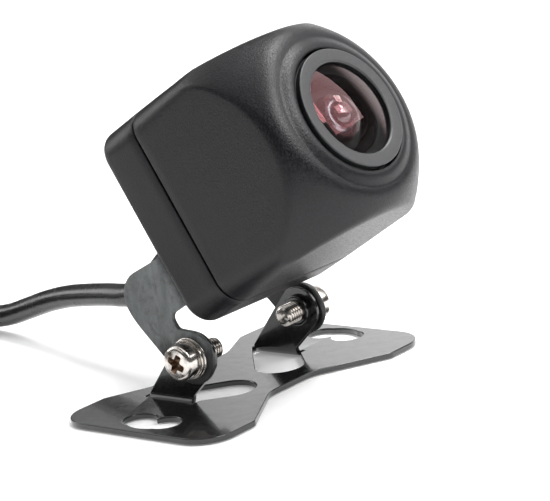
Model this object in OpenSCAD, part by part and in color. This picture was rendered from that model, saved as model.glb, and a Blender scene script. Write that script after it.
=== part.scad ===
// Small square vehicle camera on a tilting yoke and a sheet steel foot, with its pigtail cable.
// The origin is the centre of the foot's underside: X along the tilt axis, the lens faces -Y, Z up.

/* [Foot] */
// Thickness of both sheet steel pressings
sheet_t = 0.8; // [0.6:0.1:1]
// Length of the foot along the tilt axis
foot_len = 49.2; // [46:0.2:54]
// Depth of the foot's wings
foot_depth = 28; // [26:0.5:30]
// Height of the tilt axis above the underside
pivot_h = 7.4; // [7:0.1:9]
// Distance from the foot's centre forward to the tilt axis
pivot_fwd = 1.4; // [0:0.1:2]
// Clear width between the two tabs
tab_gap = 22; // [20:0.5:23]
// Radius of the tabs' round ends
tab_r = 3.4; // [3:0.1:3.8]

/* [Camera] */
// Angle of the lens above level at rest
tilt = 29.6; // [0:0.2:60]
// Width and height of the casing
case_w = 29.1; // [27:0.1:31]
// How much each side leans in, per mm towards the front
case_draft = 0.026; // [0:0.002:0.04]
// Radius of the casing's four long corners
case_r = 3.6; // [3:0.1:5]
// Height of the lens axis above the tilt axis, square to the lens
lens_v = 17.1; // [16.5:0.1:19]
// Distance from the tilt axis to the casing's back
back_u = 5.1; // [4.8:0.1:6]
// Depth of the rear cover
cover_d = 7.7; // [6:0.1:9]
// Distance from the tilt axis to the collar's flat front
front_u = 35.2; // [34:0.1:37]
// Wall thickness of the casing
wall = 1.8; // [1.4:0.1:2.2]
// Radius where the raised collar round the lens starts
collar_r = 11.1; // [10.8:0.1:11.5]
// Outer radius of the bezel ring
bezel_r = 8.65; // [8.4:0.05:9]
// Radius of the opening in the bezel ring
glass_r = 6.72; // [6.4:0.02:7]

/* [Cable] */
// Diameter of the cable
cable_d = 3.5; // [3:0.1:4]
// Height of the cable exit above the tilt axis, square to the lens
exit_v = 15.4; // [15:0.1:17]
// Radius of the coil at the middle of its turns
coil_r = 20; // [18:0.5:21]
// Centre of the coil on the surface
coil_at = [-15.5, 77]; // [-100:0.5:100]

/* [Hidden] */
$fn = 96;
eps = 0.01;

// Stack along the tilt axis, from the tab outwards
tab_in = tab_gap / 2;
tab_out = tab_in + sheet_t;
ear_out = tab_out + sheet_t;
washer_t = 0.4;
spring_t = 0.5;
head_in = ear_out + washer_t + spring_t;
head_h = 2.3;
head_r = 2.55;
screw_r = 1.5;
screw_end = 7.3;
thread_pitch = 0.5;
thread_depth = 0.25;
boss_h = 0.8;

// Foot
bend_in = 0.6;
bend_out = bend_in + sheet_t;
plate_in = tab_out + bend_in;
tab_foot = [0, 7.9];
nick_len = 0.6;
blank_x = plate_in + 0.4;
hole_x = 20.3;
hole_lobe_r = 2.4;
hole_lobe_y = 2.2;
hole_arc_r = 4.6;
hole_cusp_x = 19.3;

// Casing
seam_u = back_u + cover_d;
seam_gap = 0.24;
half_w = case_w / 2;
dome_start = 23.3;
dome_r = 19.2;
dome_h = 17.5;
dome_n = 1.55;
dome_end_r = 13.6;
valley_u = front_u - 0.7;
collar_flat = 9.35;
pocket_r = bezel_r + 0.3;
pocket_u = 33.2;
barrel_head_r = 8;
barrel_r = 6;
cavity_w = half_w - wall;
cavity_top_u = 29.4;
post_x = 10.6;
post_r = 2.4;
pcb_u = 15;
pcb_t = 1;
pcb_w = 11.8;
pcb_screw_x = 10.2;
bracket_screw_x = 8;
bracket_screw_v = 9.4;
gland_r = 3.5;
gland_len = 2.1;
relief_len = 5.5;

// Yoke
yoke_bend_in = 1.6;
yoke_bend_out = yoke_bend_in + sheet_t;
yoke_low_v = 6.4;
yoke_high_v = 13.9;
ear_r = 3.8;

// Coil and connector
coil_floor = 0.5;
coil_w = 3 * cable_d;
coil_h = 1.87 * cable_d;
tail_x = coil_at[0] - coil_r - cable_d / 2;
plug_r = 4.6;
plug_y = 57;
boot_len = 10;
body_len = 14;
sleeve_len = 9;

// Cable route from the strain relief to the coil: x, y, z
relief_end = [0, pivot_y(exit_u()) , pivot_z(exit_u())];
LEAD = [
    relief_end,
    relief_end + 1.6 * [0, cos(tilt), -sin(tilt)],
    relief_end + 3.2 * [0, cos(tilt), -sin(tilt)],
    [0.2, 13.6, 16.0],
    [0.5, 16.0, 13.7],
    [1.0, 18.9, 11.7],
    [1.8, 23.0, 10.4],
    [2.8, 28.0, 9.8],
    [4.0, 33.5, 9.0],
    [5.2, 39.0, 8.0],
    [6.2, 44.5, 6.6],
    [7.0, 50.0, 4.8],
    [7.6, 55.0, 3.2],
    [7.9, 60.0, 2.3],
    [8.0, 65.0, 2.25],
    [8.0, 71.0, 2.25],
    [8.0, 77.0, 2.25],
];
TAIL = [
    [tail_x, 77, 5.3],
    [tail_x, 72, 5.6],
    [tail_x, 68, 5.7],
    [tail_x, 64, 5.1],
    [tail_x, 60.5, plug_r],
    [tail_x, 58.5, plug_r],
    [tail_x, plug_y, plug_r],
];

function exit_u() = back_u - gland_len - relief_len;
function pivot_y(u) = -pivot_fwd - u * cos(tilt) + exit_v * sin(tilt);
function pivot_z(u) = pivot_h + u * sin(tilt) + exit_v * cos(tilt);

// Rounds each [x, y, radius] corner of a closed path with an arc
function unit(v) = v / norm(v);
function corner(a, b, c, r, n = 10) =
    let (p = [b.x, b.y], da = unit([a.x, a.y] - p), dc = unit([c.x, c.y] - p),
         half = acos(da * dc) / 2, mid = p + unit(da + dc) * r / sin(half),
         s = p + da * r / tan(half) - mid, e = p + dc * r / tan(half) - mid, sweep = 180 - 2 * half)
    [for (i = [0:n]) mid + (s * sin(sweep * (1 - i / n)) + e * sin(sweep * i / n)) / sin(sweep)];
function round_path(pts) =
    let (n = len(pts))
    [for (i = [0:n - 1]) each (pts[i][2] > 0
        ? corner(pts[(i + n - 1) % n], pts[i], pts[(i + 1) % n], pts[i][2])
        : [[pts[i].x, pts[i].y]])];

// Points of an arc, and the angle where a line from p touches the circle (c, r) on either side
function arc(c, r, from, to, n = 16) =
    [for (i = [0:n]) let (a = from + (to - from) * i / n) [c.x + r * cos(a), c.y + r * sin(a), 0]];
function tangent_angle(p, c, r, side) = atan2(p.y - c.y, p.x - c.x) + side * acos(r / norm(p - c));

// Frames: the head's frame has -Y along the lens, and the lens frame has +Z along it
module in_head() translate([0, -pivot_fwd, pivot_h]) rotate([-tilt, 0, 0]) children();
module in_lens() in_head() translate([0, 0, lens_v]) rotate([90, 0, 0]) children();
module both_sides() {
    children();
    mirror([1, 0, 0]) children();
}
// A solid of revolution about the tilt axis, its Z pointing out to +X
module on_pivot() translate([0, -pivot_fwd, pivot_h]) rotate([0, 90, 0]) children();
module ring(r_out, r_in, h) difference() {
    cylinder(r = r_out, h = h);
    translate([0, 0, -1]) cylinder(r = r_in, h = h + 2);
}
module rounded_square(half, r) {
    square([2 * half, 2 * (half - r)], center = true);
    square([2 * (half - r), 2 * half], center = true);
    for (x = [-1, 1], y = [-1, 1]) translate([x, y] * (half - r)) circle(r = r);
}

// ---- Foot ----
module foot_outline() {
    hx = foot_len / 2;
    hy = foot_depth / 2;
    polygon(round_path([
        [-hx, -hy, 5], [-15.4, -hy, 1.2], [-4.8, -7.9, 6],
        [4.8, -7.9, 6], [15.4, -hy, 1.2], [hx, -hy, 5],
        [hx, hy, 4.8], [15, hy, 1.2], [8, 10.6, 6],
        [-8, 10.6, 6], [-15, hy, 1.2], [-hx, hy, 4.8],
    ]));
}
module wing_hole() {
    for (y = [-1, 1]) translate([hole_x, y * hole_lobe_y]) circle(r = hole_lobe_r);
    intersection() {
        translate([hole_x - 1.6, 0]) circle(r = hole_arc_r);
        translate([hole_cusp_x, -5]) square([6, 10]);
    }
}
// The tab's round end and its two straight edges: y across, height up
function tab_end(grow = 0) =
    let (c = [-pivot_fwd, pivot_h], r = tab_r + grow,
         back = [tab_foot[1] + grow, bend_out], front = [tab_foot[0] - grow, bend_out])
    arc(c, r, tangent_angle(back, c, r, 1), 360 + tangent_angle(front, c, r, -1), 28);
// The hole left by the tab's flat blank, with a nick past each end of the bend
module tab_window() {
    low = tab_foot[0] - nick_len;
    high = tab_foot[1] + nick_len;
    polygon(round_path(concat(
        [[plate_in, low, 0.25], [plate_in, high, 0.25], [plate_in - 1.2, high, 0.25]],
        [for (p = tab_end(0.15)) [blank_x - p.y, p.x, 0]],
        [[plate_in - 1.2, low, 0.25]])));
}
module tab_bend() {
    c = [plate_in, bend_out];
    lap = 0.5;
    translate([0, tab_foot[1], 0]) rotate([90, 0, 0]) linear_extrude(tab_foot[1] - tab_foot[0])
        polygon([for (p = concat(arc(c, bend_out, 180, 270, 10),
                [[plate_in + lap, 0], [plate_in + lap, sheet_t]], arc(c, bend_in, 270, 180, 8)))
            [p.x, p.y]]);
}
module tab() {
    difference() {
        union() {
            translate([tab_in, 0, 0]) rotate([90, 0, 90]) linear_extrude(sheet_t)
                polygon(concat([[tab_foot[0], bend_out], [tab_foot[1], bend_out]],
                    [for (p = tab_end()) [p.x, p.y]]));
            on_pivot() translate([0, 0, tab_in - boss_h]) cylinder(r = screw_r + 0.75, h = boss_h + sheet_t / 2);
        }
        on_pivot() translate([0, 0, tab_in - boss_h - 1]) cylinder(r = screw_r, h = 5);
    }
    tab_bend();
}
module base_plate() {
    color([0.03, 0.03, 0.035]) {
        linear_extrude(sheet_t) difference() {
            foot_outline();
            both_sides() wing_hole();
            both_sides() tab_window();
        }
        both_sides() tab();
    }
}

// ---- Pivot fasteners ----
module screw_profile(r, tip, neck, pitch, depth) {
    n = floor((neck - tip) / pitch);
    polygon(concat(
        [[0, tip], [r - depth, tip]],
        [for (i = [0:n - 1]) each [
            [r - depth, tip + (i + 0.1) * pitch], [r, tip + (i + 0.45) * pitch],
            [r, tip + (i + 0.6) * pitch], [r - depth, tip + (i + 0.95) * pitch]]],
        [[r - depth, neck], [0, neck]]));
}
module cross_recess(size, depth) {
    for (a = [0, 90]) rotate(a + 45)
        translate([-size / 2, -size * 0.14, -depth]) cube([size, size * 0.28, depth + 1]);
}
module pan_head(r, h) {
    // straight rim, then a rounded edge to a nearly flat top
    edge = 0.75;
    polygon(concat([[0, 0], [r - 0.1, 0], [r, 0.15]],
        [for (a = [0:10:80]) [r - edge + edge * cos(a), h - 0.1 - edge + edge * sin(a)]],
        [[r * 0.35, h - 0.02], [0, h]]));
}
module pivot_screw() {
    on_pivot() difference() {
        union() {
            rotate_extrude() screw_profile(screw_r, screw_end, tab_in - boss_h, thread_pitch, thread_depth);
            translate([0, 0, tab_in - boss_h]) cylinder(r = screw_r - 0.02, h = head_in - tab_in + boss_h);
            translate([0, 0, head_in]) rotate_extrude() pan_head(head_r, head_h);
        }
        translate([0, 0, head_in + head_h]) cross_recess(2.8, 1.2);
    }
}
module pivot_screws() color([0.72, 0.69, 0.66]) both_sides() pivot_screw();
module flat_washers() color([0.7, 0.67, 0.64]) both_sides()
    on_pivot() translate([0, 0, ear_out]) ring(2.95, 1.6, washer_t);
module spring_washers() color([0.66, 0.63, 0.6]) both_sides()
    on_pivot() translate([0, 0, ear_out + washer_t]) rotate(70) difference() {
        ring(2.8, 1.65, spring_t);
        translate([1.4, -0.2, -1]) cube([2, 0.4, 3]);
    }

// ---- Yoke ----
module ear_outline() {
    bend_u = back_u - yoke_bend_out;
    back = [-5.9, 7.4];
    polygon(round_path(concat(
        [[bend_u, yoke_high_v, 0], [-6.6, 14.5, 4], [-6.2, 9, 4], [back.x, back.y, 2]],
        arc([0, 0], ear_r, tangent_angle(back, [0, 0], ear_r, 1), 360 + 49, 24),
        [[0.3, 4.3, 0.8], [0.3, yoke_low_v, 1], [bend_u, yoke_low_v, 0]])));
}
module yoke_side() {
    // the flat ear, drawn with u along -Y of the head frame
    difference() {
        translate([tab_out, 0, 0]) rotate([90, 0, 90]) linear_extrude(sheet_t) mirror([1, 0]) ear_outline();
        translate([tab_out - 1, 0, 0]) rotate([0, 90, 0]) cylinder(r = screw_r + 0.08, h = 3);
    }
    translate([ear_out - yoke_bend_out, -back_u + yoke_bend_out, yoke_low_v])
        linear_extrude(yoke_high_v - yoke_low_v) intersection() {
            difference() {
                circle(r = yoke_bend_out);
                circle(r = yoke_bend_in);
            }
            translate([0, -yoke_bend_out]) square(yoke_bend_out);
        }
}
module yoke_bracket() {
    web = ear_out - yoke_bend_out;
    color([0.1, 0.11, 0.11]) in_head() {
        both_sides() yoke_side();
        difference() {
            translate([-web, -back_u, yoke_low_v]) cube([2 * web, sheet_t, yoke_high_v - yoke_low_v]);
            translate([0, 0, exit_v]) rotate([90, 0, 0]) cylinder(r = gland_r + 0.3, h = 10);
            for (x = [-1, 1]) translate([x * bracket_screw_x, 0, bracket_screw_v])
                rotate([90, 0, 0]) cylinder(r = 1.1, h = 10);
        }
    }
}
module small_screw(r, len, head_r, head_h) {
    // head outwards at z below 0, thread along +Z
    difference() {
        union() {
            rotate_extrude() polygon([[0, -head_h], [head_r * 0.7, -head_h], [head_r, -head_h * 0.6],
                [head_r, 0], [0, 0]]);
            cylinder(r = r, h = len);
        }
        translate([0, 0, -head_h]) mirror([0, 0, 1]) cross_recess(head_r * 1.3, head_h * 0.6);
    }
}
module bracket_screws() color([0.12, 0.12, 0.12])
    for (x = [-1, 1]) in_lens() translate([x * bracket_screw_x, bracket_screw_v - lens_v, back_u - sheet_t])
        small_screw(0.95, 2.4, 1.9, 1);

// ---- Casing ----
module rear_cover() {
    color([0.09, 0.09, 0.095]) in_lens() difference() {
        translate([0, 0, back_u]) linear_extrude(cover_d - seam_gap / 2) rounded_square(half_w, case_r);
        translate([0, 0, back_u + 2]) linear_extrude(cover_d) difference() {
            rounded_square(cavity_w, case_r - 1.2);
            for (x = [-1, 1], y = [-1, 1]) translate([x, y] * post_x) circle(r = post_r);
        }
        translate([0, exit_v - lens_v, 0]) cylinder(r = gland_r - 0.5, h = 20);
        for (x = [-1, 1]) translate([x * bracket_screw_x, bracket_screw_v - lens_v, 0])
            cylinder(r = 0.95, h = back_u + 1.7);
        for (x = [-1, 1], y = [-1, 1]) translate([x * post_x, y * post_x, 0]) {
            cylinder(r = 1.15, h = 20);
            cylinder(r = 1.9, h = back_u + 1.3);
        }
    }
}
module rear_gasket() {
    color([0.02, 0.02, 0.02]) in_lens() translate([0, 0, seam_u - seam_gap / 2])
        linear_extrude(seam_gap) difference() {
            rounded_square(half_w - 0.5, case_r - 0.5);
            rounded_square(cavity_w, case_r - 1.2);
        }
}
function ease(t) = t * t * (3 - 2 * t);
function dome_u(r) = dome_start + dome_h * pow(1 - pow(min(r / dome_r, 1), dome_n), 1 / dome_n);
// Half section of the front: dome, shoulder, shallow valley and raised collar
module front_profile() {
    rear = seam_u + seam_gap / 2;
    knee = [dome_end_r, dome_u(dome_end_r)];
    slope = (dome_u(dome_end_r - 0.1) - knee.y) / 0.1;
    bend = [dome_end_r - (valley_u - knee.y) / slope, valley_u];
    valley = [collar_r, valley_u];
    polygon(concat(
        [[0, rear], [dome_r + 3, rear], [dome_r + 3, dome_start - 1], [dome_r, dome_start]],
        [for (i = [1:14]) let (r = dome_r - (dome_r - dome_end_r) * pow(i / 14, 1.4)) [r, dome_u(r)]],
        [for (i = [1:6]) let (t = i / 6) knee * (1 - t) * (1 - t) + bend * 2 * t * (1 - t) + valley * t * t],
        [for (i = [1:8]) let (t = i / 8)
            [collar_r - (collar_r - collar_flat) * t, valley_u + (front_u - valley_u) * ease(pow(t, 0.8))]],
        [[0, front_u]]));
}
// Keeps what lies inside the four leaning sides
module leaning_sides() {
    intersection_for (a = [0:90:270]) rotate(a)
        translate([half_w, 0, seam_u]) rotate([0, -atan(case_draft), 0])
            translate([-60, -30, -20]) cube([60, 60, 60]);
}
module front_housing() {
    color([0.09, 0.09, 0.095]) in_lens() difference() {
        intersection() {
            translate([0, 0, seam_u]) linear_extrude(40) rounded_square(half_w, case_r);
            rotate_extrude() front_profile();
            leaning_sides();
        }
        // inside, with corner posts left for the screws
        translate([0, 0, seam_u - 1]) linear_extrude(pcb_u + pcb_t - seam_u + 1) difference() {
            rounded_square(cavity_w, case_r - 1.2);
            for (x = [-1, 1], y = [-1, 1]) translate([x, y] * post_x) circle(r = post_r);
        }
        translate([0, 0, pcb_u + pcb_t - eps]) linear_extrude(26 - pcb_u - pcb_t) difference() {
            rounded_square(cavity_w, case_r - 1.2);
            for (x = [-1, 1], y = [-1, 1]) translate([x, y] * post_x) circle(r = post_r);
            for (x = [-1, 1]) translate([x * pcb_screw_x, 0]) circle(r = 1.7);
            for (x = [-1, 1]) translate([x * (pcb_screw_x + 1.9), 0]) square([3.2, 2.2], center = true);
        }
        translate([0, 0, 20]) cylinder(r = 11.2, h = cavity_top_u - 20);
        translate([0, 0, 20]) cylinder(r = barrel_head_r + 0.02, h = 20);
        translate([0, 0, pocket_u]) cylinder(r = pocket_r, h = 5);
        for (x = [-1, 1], y = [-1, 1]) translate([x * post_x, y * post_x, 0]) cylinder(r = 0.95, h = 20);
        for (x = [-1, 1]) translate([x * pcb_screw_x, 0, 0]) cylinder(r = 0.75, h = 20);
    }
}
module housing_screws() {
    color([0.15, 0.15, 0.15]) in_lens() for (x = [-1, 1], y = [-1, 1])
        translate([x * post_x, y * post_x, back_u + 1.3]) small_screw(0.95, 11, 1.75, 1.1);
}
module bezel_ring() {
    lip = 34.55;
    top = front_u + 0.5;
    color([0.2, 0.2, 0.21]) in_lens() rotate_extrude() polygon([
        [7.2, pocket_u], [bezel_r, pocket_u], [bezel_r, top - 0.35], [bezel_r - 0.1, top - 0.12],
        [bezel_r - 0.35, top], [glass_r + 0.2, top - 0.05], [glass_r, top - 0.25],
        [glass_r, lip], [7.2, lip]]);
}
module front_seal() {
    color([0.03, 0.03, 0.03]) in_lens() rotate_extrude()
        translate([7.66, 32.75]) circle(r = 0.34, $fn = 24);
}

// ---- Optics ----
// Points along a spherical surface of radius s with its crown at height top, from r0 out to r1
function cap(s, top, r0, r1, n = 14) =
    [for (i = [0:n]) let (r = r0 + (r1 - r0) * i / n) [r, top - s + sqrt(s * s - r * r)]];
function cup(s, top, r0, r1, n = 14) =
    [for (i = [0:n]) let (r = r0 + (r1 - r0) * i / n) [r, top + s - sqrt(s * s - r * r)]];
module front_lens() {
    rim_r = 7.1;
    dome = glass_r - 0.06;
    color([0.35, 0.2, 0.25, 0.5]) in_lens() rotate_extrude() polygon(concat(
        cap(20, 36.3, 0, dome), [[dome, 34.5], [rim_r, 34.5], [rim_r, 31.6]], cap(6.2, 34.5, 5.2, 0)));
}
module lens_barrel() {
    color([0.04, 0.04, 0.045]) in_lens() rotate_extrude() polygon([
        [7.15, 33.15], [7.15, 31.55], [5.2, 31.5], [4.6, 31.2], [4, 31.1], [3.1, 32.1],
        [2.8, 32.35], [2.45, 32.35], [2.2, 32.1], [2.2, 27.6],
        [3.3, 27.6], [3.3, 19], [barrel_r, 19], [barrel_r, 29.4], [barrel_head_r, 29.4],
        [barrel_head_r, 32.3], [7.3, 32.3], [7.3, 33.15]]);
}
module aperture_stop() color([0.03, 0.03, 0.03]) in_lens() translate([0, 0, 24.9]) ring(3.28, 1, 0.2);
module second_lens() color([0.3, 0.22, 0.4, 0.6]) in_lens() rotate_extrude()
    polygon(concat(cap(2.6, 33.8, 0, 2.1), [[2.1, 27.55], [3.28, 27.55], [3.28, 25.15], [0, 25.15]]));
module third_lens() color([0.4, 0.4, 0.5, 0.6]) in_lens() rotate_extrude()
    polygon(concat(cup(9, 22.6, 0, 3.28), [[3.28, 24.85], [0, 24.85]]));
module lens_spacer() color([0.04, 0.04, 0.04]) in_lens() translate([0, 0, 22.2]) ring(3.28, 2.5, 0.4);
module rear_lens() color([0.4, 0.45, 0.5, 0.6]) in_lens() rotate_extrude()
    polygon(concat(cap(9, 22.15, 0, 3.28), [[3.28, 20], [0, 20]]));
module lens_retainer() color([0.05, 0.05, 0.05]) in_lens() translate([0, 0, 19.1]) ring(3.28, 2.4, 0.85);
module lens_holder() {
    color([0.05, 0.05, 0.055]) in_lens() translate([0, 0, pcb_u + pcb_t]) difference() {
        union() {
            translate([-7.5, -7.5, 0]) cube([15, 15, 2.4]);
            cylinder(r = 7.4, h = 8);
        }
        translate([0, 0, 1.8]) cylinder(r = barrel_r + 0.02, h = 8);
        translate([-4.2, -4.2, -1]) cube([8.4, 8.4, 2.81]);
    }
}
module ir_filter() color([0.4, 0.6, 0.7, 0.5]) in_lens() translate([-3.2, -3.2, pcb_u + pcb_t + 1.85])
    cube([6.4, 6.4, 0.3]);
module image_sensor() color([0.2, 0.22, 0.3]) in_lens() translate([-3.5, -3.5, pcb_u + pcb_t])
    cube([7, 7, 1.1]);

// ---- Electronics ----
module sensor_board() {
    color([0.05, 0.3, 0.15]) in_lens() translate([0, 0, pcb_u]) linear_extrude(pcb_t) difference() {
        square(2 * pcb_w, center = true);
        for (x = [-1, 1], y = [-1, 1]) translate([x, y] * (post_x - post_r + 3)) square(6.4, center = true);
        for (x = [-1, 1]) translate([x * pcb_screw_x, 0]) circle(r = 0.8);
    }
}
module board_screws() color([0.7, 0.7, 0.7]) in_lens() for (x = [-1, 1])
    translate([x * pcb_screw_x, 0, pcb_u]) small_screw(0.75, 3.4, 1.3, 0.7);
module board_chips() {
    color([0.06, 0.06, 0.06]) in_lens() {
        translate([-3.2, 1.5, pcb_u - 0.9]) cube([6.4, 6.4, 0.9]);
        translate([-7.6, -8, pcb_u - 1.4]) cube([2.6, 3.6, 1.4]);
        translate([4.9, -7.6, pcb_u - 1.1]) cube([3, 3, 1.1]);
        translate([6.2, 3.4, pcb_u - 2.4]) cylinder(r = 1.4, h = 2.4);
    }
}
module board_socket() {
    color([0.85, 0.83, 0.76]) in_lens() translate([-3.6, -8.4, pcb_u - 2.9]) difference() {
        cube([7.2, 3.4, 2.9]);
        translate([0.5, 0.5, -1]) cube([6.2, 2.4, 3.2]);
    }
}
module inner_wires() {
    // sheath end inside the gland nut, then four cores to the socket
    color([0.5, 0.1, 0.1]) in_lens() translate([0, exit_v - lens_v, 0]) {
        translate([0, 0, 9]) cylinder(r = cable_d / 2, h = 1.1);
        for (i = [0:3]) {
            x = -0.75 + 0.5 * i;
            y = i % 2 == 0 ? 0.4 : -0.4;
            translate([x, y, 10.1]) cylinder(r = 0.3, h = 1.2, $fn = 24);
            end = [(i - 1.5) * 1.4 - x, -5.2 - y, 0.45];
            translate([x, y, 11.25]) rotate([0, acos(end.z / norm(end)), atan2(end.y, end.x)])
                cylinder(r = 0.3, h = norm(end), $fn = 24);
            translate([x + end.x, y + end.y, 11.5]) cylinder(r = 0.35, h = 2.6, $fn = 24);
        }
    }
}

// ---- Cable ----
module cable_gland() {
    color([0.05, 0.05, 0.05]) in_lens() translate([0, exit_v - lens_v, 0]) {
        translate([0, 0, back_u - gland_len]) cylinder(r = gland_r, h = gland_len);
        translate([0, 0, back_u - eps]) cylinder(r = gland_r - 0.52, h = 3.9);
    }
}
module gland_nut() {
    color([0.12, 0.12, 0.12]) in_lens() translate([0, exit_v - lens_v, back_u + 2]) difference() {
        cylinder(r = 4.6, h = 1.6, $fn = 6);
        translate([0, 0, -1]) cylinder(r = gland_r - 0.5, h = 4);
    }
}
module strain_relief() {
    color([0.04, 0.04, 0.04]) in_lens() translate([0, exit_v - lens_v, back_u - gland_len - relief_len])
        rotate_extrude() polygon([[0, 0], [2.05, 0], [2.15, 0.3], [2.4, 2.6], [2.6, 4.6],
            [2.9, 5.4], [2.9, relief_len], [0, relief_len]]);
}
// Smooth path through hand-placed points (Catmull-Rom)
function spline(p, n = 3) =
    let (m = len(p) - 1)
    concat([for (i = [0:m - 1], k = [0:n - 1])
        let (t = k / n, a = p[max(i - 1, 0)], b = p[i], c = p[i + 1], d = p[min(i + 2, m)])
        0.5 * (2 * b + (c - a) * t + (2 * a - 5 * b + 4 * c - d) * t * t
            + (3 * b - a - 3 * c + d) * t * t * t)], [p[m]]);
// One closed tube swept along a path
module tube(path, r, sides = 8) {
    n = len(path);
    across = unit(cross(path[1] - path[0], [0, 0, 1]));
    rings = [for (i = [0:n - 1])
        let (d = unit(path[min(i + 1, n - 1)] - path[max(i - 1, 0)]),
             side = unit(cross(d, [0, 0, 1])), up = cross(side, d))
        for (k = [0:sides - 1]) path[i] + r * (side * cos(360 * k / sides) + up * sin(360 * k / sides))];
    polyhedron(rings, concat(
        [[for (k = [0:sides - 1]) k]],
        [for (i = [0:n - 2], k = [0:sides - 1])
            [i * sides + k, (i + 1) * sides + k, (i + 1) * sides + (k + 1) % sides, i * sides + (k + 1) % sides]],
        [[for (k = [sides - 1:-1:0]) (n - 1) * sides + k]]));
}
module cable_lead() color([0.06, 0.06, 0.06]) tube(spline(LEAD), cable_d / 2);
module cable_tail() color([0.06, 0.06, 0.06]) tube(spline(TAIL), cable_d / 2);
module cable_coil() {
    color([0.06, 0.06, 0.06]) translate([coil_at[0], coil_at[1], coil_floor]) rotate_extrude()
        translate([coil_r - coil_w / 2, 0]) polygon(round_path([
            [0, 0, 1.5], [coil_w, 0, 1.5], [coil_w, coil_h, 2.2], [0, coil_h, 2.2]]));
}
module coil_tie() {
    gap = 0.1;
    strap = 0.35;
    color([0.05, 0.05, 0.05]) translate([coil_at[0], coil_at[1], 0]) rotate(70)
        translate([coil_r, 1.5, 0]) rotate([90, 0, 0]) linear_extrude(3) difference() {
            translate([-coil_w / 2 - gap - strap, coil_floor - gap - strap])
                square([coil_w + 2 * gap + 2 * strap, coil_h + 2 * gap + 2 * strap]);
            translate([-coil_w / 2 - gap, coil_floor - gap]) square([coil_w + 2 * gap, coil_h + 2 * gap]);
        }
}

// ---- Connector, its axis along -Y ----
module on_plug(y) translate([tail_x, y, plug_r]) rotate([90, 0, 0]) children();
module connector_boot() color([0.05, 0.05, 0.05]) on_plug(plug_y) rotate_extrude() polygon([
    [0, 0], [2.2, 0], [2.3, 0.4], [2.7, boot_len * 0.6], [3.4, boot_len * 0.8], [4, boot_len], [0, boot_len]]);
module connector_body() color([0.07, 0.07, 0.07]) on_plug(plug_y - boot_len) {
    rotate_extrude() polygon([[0, 0], [4.2, 0], [plug_r, 0.4], [plug_r, body_len - 0.4],
        [4.3, body_len], [0, body_len]]);
    cylinder(r = 2.9, h = body_len + 3);
}
module connector_seal() color([0.6, 0.25, 0.1]) on_plug(plug_y - boot_len - body_len - 0.05)
    ring(3.7, 2.95, 1);
module connector_sleeve() color([0.1, 0.1, 0.1]) on_plug(plug_y - boot_len - body_len - 1.1) difference() {
    cylinder(r = 4.1, h = sleeve_len);
    translate([0, 0, -1]) cylinder(r = 2.95, h = sleeve_len + 2);
    translate([-0.6, 3.4, -1]) cube([1.2, 2, sleeve_len + 2]);
}
module connector_pins() color([0.8, 0.65, 0.3]) on_plug(plug_y - boot_len - body_len - 3)
    for (a = [45:90:315]) rotate(a) translate([1.3, 0, 0]) cylinder(r = 0.45, h = 5.2);

base_plate();
pivot_screws();
flat_washers();
spring_washers();
yoke_bracket();
bracket_screws();
rear_cover();
rear_gasket();
front_housing();
housing_screws();
bezel_ring();
front_seal();
front_lens();
lens_barrel();
aperture_stop();
second_lens();
third_lens();
lens_spacer();
rear_lens();
lens_retainer();
lens_holder();
ir_filter();
image_sensor();
sensor_board();
board_screws();
board_chips();
board_socket();
inner_wires();
cable_gland();
gland_nut();
strain_relief();
cable_lead();
cable_coil();
cable_tail();
coil_tie();
connector_boot();
connector_body();
connector_seal();
connector_sleeve();
connector_pins();
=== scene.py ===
"""Looks for the tilting vehicle camera: a domed casing on a painted steel yoke and foot, with its cable."""
from math import acos, asin, atan2, cos, degrees, dist, exp, hypot, pi, radians, sin, sqrt, tan

import bmesh
import bpy
from mathutils import Matrix, Quaternion, Vector
from mathutils.geometry import tessellate_polygon


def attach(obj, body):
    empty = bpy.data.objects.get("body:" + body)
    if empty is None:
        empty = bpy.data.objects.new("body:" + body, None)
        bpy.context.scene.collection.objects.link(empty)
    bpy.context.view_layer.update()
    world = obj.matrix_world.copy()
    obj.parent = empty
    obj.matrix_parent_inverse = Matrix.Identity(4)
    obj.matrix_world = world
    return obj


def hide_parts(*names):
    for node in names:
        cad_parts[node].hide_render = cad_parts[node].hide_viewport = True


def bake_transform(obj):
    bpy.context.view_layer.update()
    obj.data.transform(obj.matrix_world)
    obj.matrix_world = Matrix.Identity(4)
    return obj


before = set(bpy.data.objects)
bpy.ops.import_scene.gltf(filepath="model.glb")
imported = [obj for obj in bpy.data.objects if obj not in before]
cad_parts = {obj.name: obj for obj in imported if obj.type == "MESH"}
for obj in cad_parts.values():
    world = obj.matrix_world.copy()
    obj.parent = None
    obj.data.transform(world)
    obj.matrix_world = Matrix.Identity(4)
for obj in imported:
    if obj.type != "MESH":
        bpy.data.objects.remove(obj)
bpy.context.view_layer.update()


def at(x, y, z):
    return Matrix.Translation((x, y, z))


def spin(angle, axis):
    return Matrix.Rotation(radians(angle), 4, axis)


def placed(name, data):
    """A new object in the scene."""
    made = bpy.data.objects.new(name, data)
    bpy.context.scene.collection.objects.link(made)
    return made


MM = 0.001
TILT = 29.6            # angle of the lens above level at rest, degrees
PIVOT = (0, -1.4, 7.4)
LENS_V = 17.1          # lens axis above the tilt axis, square to the lens
HEAD = at(*PIVOT) @ spin(-TILT, "X")                # yoke: lens direction along -Y
LENS = HEAD @ at(0, 0, LENS_V) @ spin(90, "X")      # casing and optics: lens direction along +Z
ON_PIVOT = at(*PIVOT) @ spin(90, "Y")               # pivot screws: tilt axis along +Z
MIRROR = Matrix.Diagonal((-1, 1, 1, 1))
IDENTITY = Matrix.Identity(4)


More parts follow.
